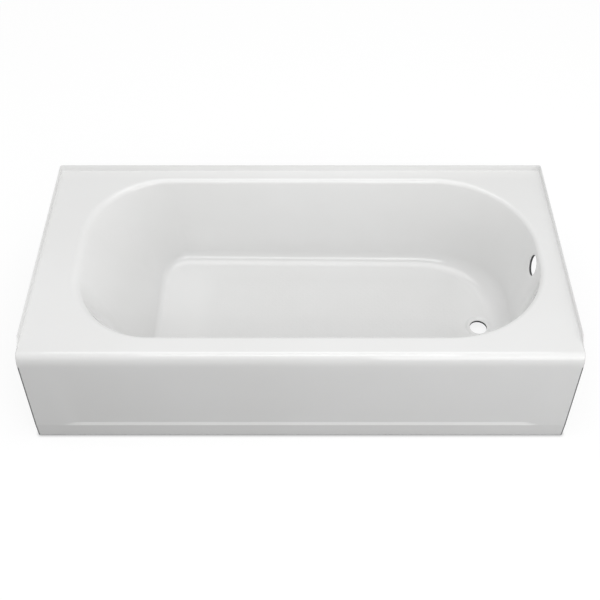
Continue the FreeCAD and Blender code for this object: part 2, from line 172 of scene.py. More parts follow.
class Graph:
    """The node tree of one material, with its Principled shader."""

    def __init__(self, name: str) -> None:
        """Starts a material.

        Args:
            name: The material's name.
        """
        self.material = bpy.data.materials.new(name)
        self.material.use_nodes = True
        self.tree = self.material.node_tree
        self.shader = self.tree.nodes["Principled BSDF"]
        self.place = self.tree.nodes.new("ShaderNodeTexCoord").outputs["Object"]

    def node(self, kind: str, inputs: Optional[dict] = None, **fields: Any) -> bpy.types.Node:
        """Adds a node.

        Args:
            kind: The node's type without its ShaderNode prefix.
            inputs: Values or sockets to link, by input name or number.
            fields: Values of the node's own fields.

        Returns:
            The new node.
        """
        made = self.tree.nodes.new("ShaderNode" + kind)
        for name, value in fields.items():
            setattr(made, name, value)
        for key, value in (inputs or {}).items():
            if isinstance(value, bpy.types.NodeSocket):
                self.tree.links.new(value, made.inputs[key])
            else:
                made.inputs[key].default_value = value
        return made

    def axes(self) -> Any:
        """Returns the outputs with X, Y and Z of the piece's own place."""
        return self.node("SeparateXYZ", {0: self.place}).outputs

    def math(self, operation: str, *terms: Any) -> bpy.types.NodeSocket:
        """Adds a Math node on numbers or sockets and returns its output."""
        return self.node("Math", dict(enumerate(terms)), operation=operation).outputs[0]

    def noise(self, scale: float, detail: float = 2.0, rough: float = 0.5) -> bpy.types.NodeSocket:
        """Adds a Noise texture on the piece's own place and returns its value."""
        inputs = {"Vector": self.place, "Scale": scale, "Detail": detail, "Roughness": rough}
        return self.node("TexNoise", inputs).outputs[0]

    def cells(self, scale: float, output: str = "Distance") -> bpy.types.NodeSocket:
        """Adds a Voronoi texture on the piece's own place and returns one of its outputs."""
        return self.node("TexVoronoi", {"Vector": self.place, "Scale": scale}).outputs[output]

    def mixed(self, share: Any, low: Any, high: Any) -> bpy.types.NodeSocket:
        """Mixes two colours, each a tuple or a socket, by a share and returns the colour."""
        low, high = ((*tone, 1.0) if isinstance(tone, tuple) else tone for tone in (low, high))
        return self.node("MixRGB", {0: share, 1: low, 2: high}).outputs[0]

    def ranged(self, value: Any, low: float, high: float, to_low: float, to_high: float) -> Any:
        """Maps a value from one range to another, held to the ends, and returns it."""
        inputs = {0: value, 1: low, 2: high, 3: to_low, 4: to_high}
        return self.node("MapRange", inputs).outputs[0]

    def step(self, value: Any, edge: float, blur: float, below: float, above: float) -> Any:
        """Returns one number below an edge and another above it, blurred to both sides."""
        return self.ranged(value, edge - blur, edge + blur, below, above)

    def bump(self, height: Any, strength: float, distance: float, under: Any = None) -> Any:
        """Adds a Bump node.

        Args:
            height: Socket with the height, 0 to 1.
            strength: How strong the bumps show.
            distance: Their real height in metres.
            under: Normal of another Bump node that these bumps lie on.

        Returns:
            The socket with the normal.
        """
        inputs = {"Height": height, "Strength": strength, "Distance": distance}
        if under is not None:
            inputs["Normal"] = under
        return self.node("Bump", inputs).outputs[0]

    def set(self, **sockets: Any) -> None:
        """Sets or links inputs of the Principled shader.

        Args:
            sockets: Values or sockets by the input's name, with an underscore for a space.
        """
        for name, value in sockets.items():
            socket = self.shader.inputs[name.replace("_", " ")]
            if isinstance(value, bpy.types.NodeSocket):
                self.tree.links.new(value, socket)
            else:
                socket.default_value = value


@dataclass(frozen=True)
class Enamel:
    """Gloss white porcelain enamel, with small raised dots over the basin floor, painted a little
    darker.

    Round the apron's bent ends and along its foot, dark painted shade is mixed into the colour,
    with a ragged edge.
    """

    white: tuple = (0.845, 0.846, 0.842)
    shade: tuple = (0.825, 0.825, 0.818)
    cloud_scale: float = 2.3
    rough: float = 0.10
    coat_weight: float = 0.55
    coat_rough: float = 0.03
    peel_scale: float = 130.0
    peel_strength: float = 0.05
    peel_height: float = 0.0004
    edge_shade: tuple = (0.210, 0.213, 0.220)
    end_shade_from: float = 0.7577          # painted shade from here out to each end,
    end_shade_blur: float = 0.0006
    end_shade_top: float = 0.330           # but only up to here,
    end_shade_top_fade: float = 0.008
    foot_shade_below: float = 0.0015         # and painted shade below this all along
    foot_shade_blur: float = 0.0005
    ragged_scale: float = 90.0
    ragged_reach: float = 0.0012
    ragged_top: float = 6.0             # times the reach, at the upper end of the painted shade
    dot_pitch: float = 0.022
    dot_foot: float = 0.55              # heights of the two crossed waves between which
    dot_crown: float = 0.80             # the side of a dot rises
    dot_rough: float = 0.22
    dot_strength: float = 0.22
    dot_height: float = 0.0006
    # the dotted floor, also painted darker as shade, which leaves the floor's left end lighter as a
    # painted lit patch:
    floor_left: float = -0.330
    floor_right: float = 0.545
    floor_middle: float = 0.0145
    floor_half: float = 0.245
    floor_top: float = 0.052
    fade_along: float = 0.06
    fade_across: float = 0.05
    fade_up: float = 0.004
    # painted shade over the dotted floor
    floor_shade_tone: float = 0.962

    def inside(self, graph: Graph, value: Any, low: float, high: float, fade: float) -> Any:
        """Masks the stretch between two places along an axis.

        Args:
            graph: The material's nodes.
            value: Socket with the place along the axis.
            low: Where the stretch starts.
            high: Where it ends.
            fade: Length over which the mask fades inside each end.

        Returns:
            The mask, 1 inside.
        """
        rise = graph.ranged(value, low, low + fade, 0.0, 1.0)
        fall = graph.ranged(value, high - fade, high, 1.0, 0.0)
        return graph.math("MULTIPLY", rise, fall)

    def dots_and_shade_place(self, graph: Graph) -> Any:
        """Masks the part of the flat floor that has the raised dots and the painted shade.

        Args:
            graph: The material's nodes.

        Returns:
            The mask, 1 on that part.
        """
        axes = graph.axes()
        along = self.inside(graph, axes[0], self.floor_left, self.floor_right, self.fade_along)
        across = self.inside(graph, axes[1], self.floor_middle - self.floor_half,
                             self.floor_middle + self.floor_half, self.fade_across)
        low = graph.ranged(axes[2], self.floor_top, self.floor_top + self.fade_up, 1.0, 0.0)
        return graph.math("MULTIPLY", graph.math("MULTIPLY", along, across), low)

    def dots(self, graph: Graph, mask: Any) -> Any:
        """Makes the raised dots.

        Args:
            graph: The material's nodes.
            mask: Socket that is 1 where there are dots.

        Returns:
            Their height, 0 to 1.
        """
        axes = graph.axes()
        turn = 2 * math.pi / self.dot_pitch
        waves = [graph.math("COSINE", graph.math("MULTIPLY", axes[i], turn)) for i in (0, 1)]
        crossed = graph.math("MULTIPLY", *waves)
        lobes = graph.ranged(crossed, self.dot_foot, self.dot_crown, 0.0, 1.0)
        return graph.math("MULTIPLY", lobes, mask)

    def painted_edge_shade(self, graph: Graph) -> Any:
        """Masks the apron's bent ends and foot, which get dark painted shade.

        Args:
            graph: The material's nodes.

        Returns:
            The mask, 1 where the painted shade is.
        """
        axes = graph.axes()
        noise = graph.math("SUBTRACT", graph.noise(self.ragged_scale, 3.0), NOISE_MIDDLE)
        ragged = graph.math("MULTIPLY", noise, self.ragged_reach)
        reach = graph.math("ADD", graph.math("ABSOLUTE", axes[0]), ragged)
        ends = graph.step(reach, self.end_shade_from, self.end_shade_blur, 0.0, 1.0)
        height = graph.math("ADD", axes[2], graph.math("MULTIPLY", ragged, self.ragged_top))
        under = graph.ranged(height, self.end_shade_top - self.end_shade_top_fade, self.end_shade_top,
                             1.0, 0.0)
        foot = graph.step(axes[2], self.foot_shade_below, self.foot_shade_blur, 1.0, 0.0)
        return graph.math("MAXIMUM", graph.math("MULTIPLY", ends, under), foot)

    def material(self) -> bpy.types.Material:
        """Builds the material.

        Returns:
            The new material.
        """
        graph = Graph("enamel_white")
        mask = self.dots_and_shade_place(graph)
        dots = self.dots(graph, mask)
        tone = graph.ranged(graph.noise(self.cloud_scale, 3.0), *NOISE_MOST, 0.0, 1.0)
        coat = graph.mixed(tone, self.shade, self.white)
        # Painted shade: the dotted floor is darkened, which leaves its left end lighter like a pool
        # of light.
        painted_floor_shade = graph.mixed(mask, (1.0,) * 3, (self.floor_shade_tone,) * 3)
        coat = graph.node("MixRGB", {0: 1.0, 1: coat, 2: painted_floor_shade}, blend_type="MULTIPLY").outputs[0]
        peel = graph.bump(graph.noise(self.peel_scale), self.peel_strength, self.peel_height)
        # The base colour is darkened at the apron's bent ends and foot as painted shade.
        graph.set(
            Base_Color=graph.mixed(self.painted_edge_shade(graph), coat, self.edge_shade),
            Roughness=graph.ranged(dots, 0.0, 1.0, self.rough, self.dot_rough),
            Normal=graph.bump(dots, self.dot_strength, self.dot_height, peel),
            Coat_Weight=self.coat_weight, Coat_Roughness=self.coat_rough,
            Coat_IOR=REFRACTION, IOR=REFRACTION)
        return graph.material


@dataclass(frozen=True)
class Composite:
    """Dull dark filled resin, sprayed on, with a coarse and a fine grain."""

    dark: tuple = (0.050, 0.050, 0.054)
    pale: tuple = (0.105, 0.104, 0.108)
    rough: tuple = (0.72, 0.92)
    clump_scale: float = 38.0
    clump_strength: float = 0.55
    clump_height: float = 0.002
    grit_scale: float = 420.0
    grit_strength: float = 0.4
    grit_height: float = 0.0005

    def material(self) -> bpy.types.Material:
        """Builds the material.

        Returns:
            The new material.
        """
        graph = Graph("composite_dark")
        clumps = graph.noise(self.clump_scale, 4.0, 0.6)
        grit = graph.noise(self.grit_scale, 3.0, 0.6)
        coarse = graph.bump(clumps, self.clump_strength, self.clump_height)
        tone = graph.ranged(clumps, *NOISE_ALL, 0.0, 1.0)
        graph.set(
            Base_Color=graph.mixed(tone, self.dark, self.pale),
            Roughness=graph.ranged(grit, *NOISE_ALL, *self.rough),
            Normal=graph.bump(grit, self.grit_strength, self.grit_height, coarse),
            IOR=REFRACTION)
        return graph.material


@dataclass(frozen=True)
class Galvanised:
    """Zinc coated sheet steel with its crystal spangle."""

    dark: tuple = (0.42, 0.43, 0.44)
    pale: tuple = (0.66, 0.67, 0.68)
    rough: tuple = (0.30, 0.55)
    spangle_scale: float = 95.0
    cloud_scale: float = 14.0
    sum_range: tuple = (0.3, 1.6)       # of the spangle's and the cloud's values together
    grain_scale: float = 260.0
    grain_strength: float = 0.10
    grain_height: float = 0.0003

    def material(self) -> bpy.types.Material:
        """Builds the material.

        Returns:
            The new material.
        """
        graph = Graph("galvanised_steel")
        crystals = graph.cells(self.spangle_scale, "Color")
        spangle = graph.node("SeparateColor", {0: crystals}).outputs[0]
        both = graph.math("ADD", spangle, graph.noise(self.cloud_scale, 3.0))
        grain = graph.noise(self.grain_scale)
        graph.set(
            Base_Color=graph.mixed(spangle, self.dark, self.pale),
            Metallic=1.0,
            Roughness=graph.ranged(both, *self.sum_range, *self.rough),
            Normal=graph.bump(grain, self.grain_strength, self.grain_height))
        return graph.material


@dataclass(frozen=True)
class BeadFoam:
    """Expanded white foam with its beads showing."""

    white: tuple = (0.78, 0.80, 0.82)
    seam: tuple = (0.60, 0.62, 0.64)
    rough: float = 0.85
    bead_scale: float = 230.0
    bead_edge: tuple = (0.25, 0.75)     # distance from a bead's middle over which it falls off
    seam_strength: float = 0.6
    seam_height: float = -0.0008        # the seams are sunk

    def material(self) -> bpy.types.Material:
        """Builds the material.

        Returns:
            The new material.
        """
        graph = Graph("bead_foam")
        edge = graph.ranged(graph.cells(self.bead_scale), *self.bead_edge, 0.0, 1.0)
        graph.set(
            Base_Color=graph.mixed(edge, self.white, self.seam),
            Roughness=self.rough,
            Normal=graph.bump(edge, self.seam_strength, self.seam_height))
        return graph.material


@dataclass(frozen=True)
class Moulded:
    """Moulded plastic or rubber with a fine grain."""

    name: str
    dark: tuple
    pale: tuple
    rough: float
    grain_scale: float
    rough_spread: float = 0.08
    cloud_scale: float = 22.0
    grain_strength: float = 0.3
    grain_height: float = 0.0004

    def material(self) -> bpy.types.Material:
        """Builds the material.

        Returns:
            The new material.
        """
        graph = Graph(self.name)
        grain = graph.noise(self.grain_scale, 3.0, 0.6)
        tone = graph.ranged(graph.noise(self.cloud_scale), *NOISE_MOST, 0.0, 1.0)
        graph.set(
            Base_Color=graph.mixed(tone, self.dark, self.pale),
            Roughness=graph.ranged(grain, *NOISE_ALL, self.rough - self.rough_spread,
                                   self.rough + self.rough_spread),
            Normal=graph.bump(grain, self.grain_strength, self.grain_height))
        return graph.material


FOOT_PLASTIC = Moulded("foot_plastic", (0.018, 0.018, 0.020), (0.030, 0.030, 0.032), 0.55, 300.0)
PAD_RUBBER = Moulded("pad_rubber", (0.010, 0.010, 0.010), (0.020, 0.020, 0.019), 0.80, 500.0)


@dataclass
class Finishes:
    """All finishes of the bath, each made into a material once, when it is first asked for."""

    made: dict = field(default_factory=dict)

    def kinds(self) -> dict:
        """Names the finish of each slot.

        Returns:
            The finishes by slot.
        """
        return {
            Slot.ENAMEL: Enamel(),
            Slot.COMPOSITE: Composite(),
            Slot.GALVANISED: Galvanised(),
            Slot.FOAM: BeadFoam(),
            Slot.FOOT: FOOT_PLASTIC,
            Slot.PAD: PAD_RUBBER,
        }

    def dress(self, piece: bpy.types.Object, slot: Slot) -> None:
        """Gives a piece the finish of a slot.

        Args:
            piece: A mesh of the scene or a node of the frame.
            slot: The record's slot.
        """
        if slot not in self.made:
            self.made[slot] = self.kinds()[slot].material()
        if not piece.material_slots:
            piece.data.materials.append(None)
        for held in piece.material_slots:
            held.material = self.made[slot]


# -------------------------------------------------------------------------------------------------
# Form of the basin
# -------------------------------------------------------------------------------------------------


@dataclass(frozen=True)
class Plan:
    """A rounded rectangle in plan, given with the straight stretch across each end."""

    left: float
    right: float
    front: float
    back: float
    left_straight: float
    right_straight: float

    def corner(self, quarter: int) -> tuple[Vector, float]:
        """Finds one corner.

        Args:
            quarter: 0 is back right, 1 back left, 2 front left and 3 front right.

        Returns:
            The corner's centre and radius.
        """
        right = quarter in (0, 3)
        straight = self.right_straight if right else self.left_straight
        radius = (self.back - self.front - straight) / 2
        x = self.right - radius if right else self.left + radius
        y = self.back - radius if quarter in (0, 1) else self.front + radius
        return Vector((x, y, 0.0)), radius


@dataclass(frozen=True)
class Section:
    """The wall's upright profile at one place round a corner, as three arcs."""

    mouth: Vector
    outward: Vector
    slide: Vector
    top: float
    arcs: tuple
    wall: tuple

    def point(self, arc: Arc, share: float, stop: float = 1.0) -> Vector:
        """Point on one arc.

        Args:
            arc: Which of the three arcs.
            share: Place along it, 0 at its upper end and 1 at its lower end.
            stop: Share of the arc's turn at which it is taken to end.

        Returns:
            The point, in metres.
        """
        (across, down), radius, start, end = self.arcs[arc.value]
        angle = start + (end - start) * share * stop
        inward = across + radius * math.cos(angle)
        depth = down + radius * math.sin(angle)
        slid = min(1.0, max(0.0, (depth - self.wall[0]) / (self.wall[1] - self.wall[0])))
        level = Vector((0, 0, self.top - depth))
        return self.mouth - self.outward * inward + self.slide * slid + level


@dataclass(frozen=True)
class BasinForm:
    """Sizes of the basin and the points of its surface at any depth under the visible one.

    The wall's sizes at the sides, the backrest and the drain end are the radii of its roll, of its
    fillet and of the bow between them.
    """

    mouth: Plan = Plan(-0.660, 0.713, -0.318, 0.347, 0.163, 0.057)
    floor: Plan = Plan(-0.436, 0.585, -0.2365, 0.2655, 0.352, 0.102)
    deck: float = 0.368
    floor_at_drain: float = 0.035
    fall: float = 0.0117                # of the floor, per metre of length
    side: tuple = (0.016, 0.044, 5.0)
    backrest: tuple = (0.034, 0.022, 2.0)
    drain_end: tuple = (0.016, 0.070, 5.0)
    drain: tuple = (0.562, 0.0145)
    drain_radius: float = 0.027
    drain_edge: float = 0.001           # last ring of the floor, outside the drain hole
    seat_radius: float = 0.034
    seat_edge: float = 0.043
    seat_depth: float = 0.0025
    seat_slope: float = 45.0            # degrees
    seat_margin: float = 0.002          # the seat's rings start this far outside its edge
    seat_run: float = 0.012             # and cover this much of the radius
    seat_steps: int = 12
    clear_radius: float = 0.056         # the wall's fillet keeps this far from the drain's middle
    clear_margin: float = 0.006
    floor_shares: tuple = (0.02, 0.15, 0.35, 0.55, 0.75, 0.9)
    overflow_middle: tuple = (0.689387, 0.0145, 0.313)
    overflow_axis: tuple = (-0.983561, 0.0, 0.180576)
    overflow_radius: float = 0.031
    overflow_sides: int = 96
    overflow_cut: float = 0.05          # length of the round punch
    corner_steps: int = 48
    side_steps: int = 26
    end_steps: int = 12
    arc_steps: tuple = (14, 16, 14)     # down the roll, the wall and the fillet

    def floor_height(self, x: float) -> float:
        """Height of the top of the floor, which falls towards the drain."""
        return self.floor_at_drain + self.fall * (self.drain[0] - x)

    def section(self, quarter: int, part: float, depth: float) -> Section:
        """The wall's profile at one place round a corner.

        Args:
            quarter: The corner, as in Plan.corner.
            part: Place round it, from 0 to 1.
            depth: How far under the visible surface.

        Returns:
            The profile.
        """
        azimuth = math.radians(90.0 * (quarter + part))
        outward = Vector((math.cos(azimuth), math.sin(azimuth), 0))
        along = Vector((-math.sin(azimuth), math.cos(azimuth), 0))
        centre, radius = self.mouth.corner(quarter)
        mouth = centre + outward * radius
        centre, radius = self.floor.corner(quarter)
        foot = centre + outward * radius
        inward = (mouth - foot).dot(outward)
        down = self.deck - self.floor_height(foot.x)
        share = math.cos(azimuth) ** 2
        end = self.drain_end if math.cos(azimuth) > 0 else self.backrest
        roll = self.side[0] + (end[0] - self.side[0]) * share
        fillet = self.side[1] + (end[1] - self.side[1]) * share
        bow = 1 / (1 / self.side[2] + (1 / end[2] - 1 / self.side[2]) * share)
        arcs = self.tangent_arcs(inward, down, roll, fillet, bow, depth)
        wall = tuple(arcs[1][0][1] + arcs[1][1] * math.sin(angle) for angle in arcs[1][2:])
        slide = along * (foot - mouth).dot(along)
        return Section(mouth, outward, slide, self.deck, arcs, wall)

    @staticmethod
    def tangent_arcs(inward: float, down: float, roll: float, fillet: float, bow: float,
                     depth: float) -> tuple:
        """Joins the deck and the floor by three arcs that run into each other smoothly.

        Args:
            inward: Distance in plan from the mouth to the floor's edge.
            down: Height from the floor to the deck.
            roll: Radius of the roll at the deck.
            fillet: Radius of the fillet at the floor.
            bow: Radius of the bowed wall between them.
            depth: How far under the visible surface.

        Returns:
            The centre, radius, start and end angle of each arc. Its axes are inward and down.
        """
        across, drop = inward, down - fillet - roll
        span = math.hypot(across, drop)
        across, drop = across / span, drop / span
        along = ((bow - roll) ** 2 - (bow + fillet) ** 2 + span ** 2) / (2 * span)
        aside = math.sqrt((bow - roll) ** 2 - along ** 2)
        centre = (along * across - aside * drop, roll + along * drop + aside * across)
        if centre[0] > 0:
            centre = (along * across + aside * drop, roll + along * drop - aside * across)
        upper = math.atan2(roll - centre[1], -centre[0])
        lower = math.atan2(down - fillet - centre[1], inward - centre[0])
        arcs = []
        for middle, radius, start, end in (
                ((0.0, roll), roll - depth, -RIGHT_ANGLE, upper),
                (centre, bow - depth, upper, lower),
                ((inward, down - fillet), fillet + depth, lower + math.pi, RIGHT_ANGLE)):
            if abs(end - start) > math.pi:
                end -= math.copysign(2 * math.pi, end - start)
            arcs.append((middle, radius, start, end))
        return tuple(arcs)

    def round_corners(self, at_corner: Callable[[int, float], Vector]) -> list[Vector]:
        """All points of one ring, in order from the drain end over the back.

        Args:
            at_corner: Gives the ring's point at a corner and a part of its turn.

        Returns:
            The points round all corners, with the straight stretches filled in.
        """
        points = []
        parts = [step / self.corner_steps for step in range(self.corner_steps + 1)]
        for quarter in range(4):
            turn = [at_corner(quarter, part) for part in parts]
            following = at_corner((quarter + 1) % 4, 0.0)
            steps = self.side_steps if quarter in (0, 2) else self.end_steps
            points += turn
            points += [turn[-1].lerp(following, step / steps) for step in range(1, steps)]
        return points

    def wall_ring(self, arc: Arc, share: float, depth: float = 0.0) -> list[Vector]:
        """One ring of the wall, held clear of the drain's seat where the floor fillet meets it.

        Args:
            arc: Which of the wall's arcs.
            share: Place down that arc, from 0 to 1.
            depth: How far under the visible surface.

        Returns:
            The ring's points.
        """
        ring = self.round_corners(
            lambda quarter, part: self.section(quarter, part, depth).point(arc, share))
        if arc is not Arc.FILLET:
            return ring
        middle = self.section(0, 0.0, depth)
        _, fillet, start, _ = middle.arcs[arc.value]
        for station in range(len(ring) - self.end_steps + 1, len(ring)):
            aside = ring[station].y - self.drain[1]
            clear = math.sqrt(self.clear_radius ** 2 - aside ** 2)
            reach = self.drain[0] + clear - self.floor.right
            lift = math.asin(min(1.0, max(0.0, reach / fillet)))
            stop = 1.0 - lift / (start - RIGHT_ANGLE)
            held = middle.point(arc, share, stop)
            ring[station] = Vector((held.x, ring[station].y, held.z))
        return ring

    def floor_point(self, x: float, y: float, depth: float) -> Vector:
        """Point of the floor or of its fillet at the drain end, with the drain's seat sunk in it.

        Args:
            x: Place along the bath.
            y: Place across it.
            depth: How far under the visible surface.

        Returns:
            The point.
        """
        height = self.floor_height(min(x, self.floor.right)) - depth
        if x > self.floor.right:
            fillet = self.drain_end[1] + depth
            height += fillet - math.sqrt(fillet ** 2 - (x - self.floor.right) ** 2)
        radius = math.hypot(x - self.drain[0], y - self.drain[1])
        grown = depth * math.tan(math.radians(self.seat_slope / 2))
        share = (self.seat_edge + grown - radius) / (self.seat_edge - self.seat_radius)
        share = min(1.0, max(0.0, share))
        return Vector((x, y, height - self.seat_depth * share * share * (3 - 2 * share)))

    def floor_rings(self, depth: float = 0.0) -> list[list[Vector]]:
        """Rings from just inside the floor's edge to the drain hole.

        Args:
            depth: How far under the visible surface.

        Returns:
            The rings, from the outside in.
        """
        edge = self.wall_ring(Arc.FILLET, 1.0, depth)
        middle = Vector((*self.drain, 0.0))
        directions = [(Vector((p.x, p.y, 0.0)) - middle).normalized() for p in edge]
        outer = self.clear_radius - self.clear_margin
        rings = []
        for share in self.floor_shares:
            ring = []
            for point, direction in zip(edge, directions):
                flat = Vector((point.x, point.y, 0.0)).lerp(middle + direction * outer, share)
                ring.append(self.floor_point(flat.x, flat.y, depth))
            rings.append(ring)
        radii = [outer]
        for step in range(self.seat_steps + 1):
            radii.append(self.seat_edge + self.seat_margin - self.seat_run * step / self.seat_steps)
        for radius in radii + [self.drain_radius + self.drain_edge, self.drain_radius]:
            rings.append([self.floor_point(*(middle + direction * radius).xy, depth)
                          for direction in directions])
        return rings

    def rings(self, depth: float = 0.0) -> list[list[Vector]]:
        """All rings from the start of the roll to the drain hole.

        Args:
            depth: How far under the visible surface.

        Returns:
            The rings, from the deck down.
        """
        made = []
        for arc, steps in zip(Arc, self.arc_steps):
            first = 0 if arc is Arc.ROLL else 1
            made += [self.wall_ring(arc, step / steps, depth) for step in range(first, steps + 1)]
        return made + self.floor_rings(depth)

    def pierce(self, piece: bpy.types.Object) -> None:
        """Cuts the overflow hole through a finished wall.

        Args:
            piece: The closed mesh that is cut.
        """
        select_none()
        turn = Vector(self.overflow_axis).to_track_quat("Z", "Y").to_euler()
        bpy.ops.mesh.primitive_cylinder_add(
            vertices=self.overflow_sides, radius=self.overflow_radius, depth=self.overflow_cut,
            location=self.overflow_middle, rotation=turn)
        punch = bpy.context.object
        apply_modifier(piece, "BOOLEAN", operation="DIFFERENCE", object=punch, solver="MANIFOLD")
        bpy.data.objects.remove(punch)


# -------------------------------------------------------------------------------------------------
# Sheets drawn out of one ring
# -------------------------------------------------------------------------------------------------


class Sheet:
    """A surface that starts as one ring and grows row by row by extruding its edges."""

    def __init__(self, name: str, ring: list[Vector]) -> None:
        """Adds the first ring.

        Args:
            name: Name of the new object.
            ring: Its points; each new vertex remembers its number in this ring.
        """
        select_none()
        bpy.ops.mesh.primitive_circle_add(vertices=len(ring), radius=1.0, location=(0, 0, 0))
        self.piece = bpy.context.object
        self.piece.name = self.piece.data.name = name
        bpy.ops.object.mode_set(mode="EDIT")
        bpy.ops.mesh.select_mode(type="EDGE")
        mesh = bmesh.from_edit_mesh(self.piece.data)
        mesh.verts.layers.int.new("station")
        mesh.verts.layers.int.new("row")
        mesh.verts.ensure_lookup_table()
        station = mesh.verts.layers.int["station"]
        for number, (vertex, point) in enumerate(zip(mesh.verts, ring)):
            vertex.co = point
            vertex[station] = number
        bmesh.update_edit_mesh(self.piece.data)
        bpy.ops.mesh.select_all(action="SELECT")

    @property
    def mesh(self) -> bmesh.types.BMesh:
        """The mesh in edit mode."""
        return bmesh.from_edit_mesh(self.piece.data)

    def select(self, wanted: Callable[[bmesh.types.BMVert], bool]) -> None:
        """Selects the border edges whose two ends are both wanted.

        Args:
            wanted: Says whether a vertex is wanted.
        """
        bpy.ops.mesh.select_all(action="DESELECT")
        mesh = self.mesh
        for edge in mesh.edges:
            if len(edge.link_faces) < 2 and all(wanted(vertex) for vertex in edge.verts):
                edge.select_set(True)
        mesh.select_flush_mode()
        bmesh.update_edit_mesh(self.piece.data)

    def grow(self, place: Place, row: Optional[int] = None) -> None:
        """Extrudes the selected edges and puts the new vertices in place.

        Args:
            place: Gives a vertex's new place from its station, or its row where row is None, and
                its old place.
            row: Number that the new vertices get as their row; None keeps the old ones.
        """
        bpy.ops.mesh.extrude_edges_move(TRANSFORM_OT_translate={"value": (0, 0, 0)})
        mesh = self.mesh
        station, rows = mesh.verts.layers.int["station"], mesh.verts.layers.int["row"]
        for vertex in mesh.verts:
            if vertex.select:
                if row is None:
                    vertex.co = place(vertex[rows], vertex.co.copy())
                else:
                    vertex.co = place(vertex[station], vertex.co.copy())
                    vertex[rows] = row
        bmesh.update_edit_mesh(self.piece.data)

    def close(self, up_at: Vector) -> bpy.types.Object:
        """Merges doubles, turns the faces to one side and leaves edit mode.

        Args:
            up_at: A place on the sheet where its faces are to point up.

        Returns:
            The finished sheet.
        """
        bpy.ops.mesh.select_all(action="SELECT")
        bpy.ops.mesh.remove_doubles(threshold=DOUBLES)
        bpy.ops.mesh.normals_make_consistent(inside=False)
        nearest = min(self.mesh.faces, key=lambda face: (face.calc_center_median() - up_at).length)
        if nearest.normal.z < 0:
            bpy.ops.mesh.flip_normals()
        bpy.ops.object.mode_set(mode="OBJECT")
        return self.piece


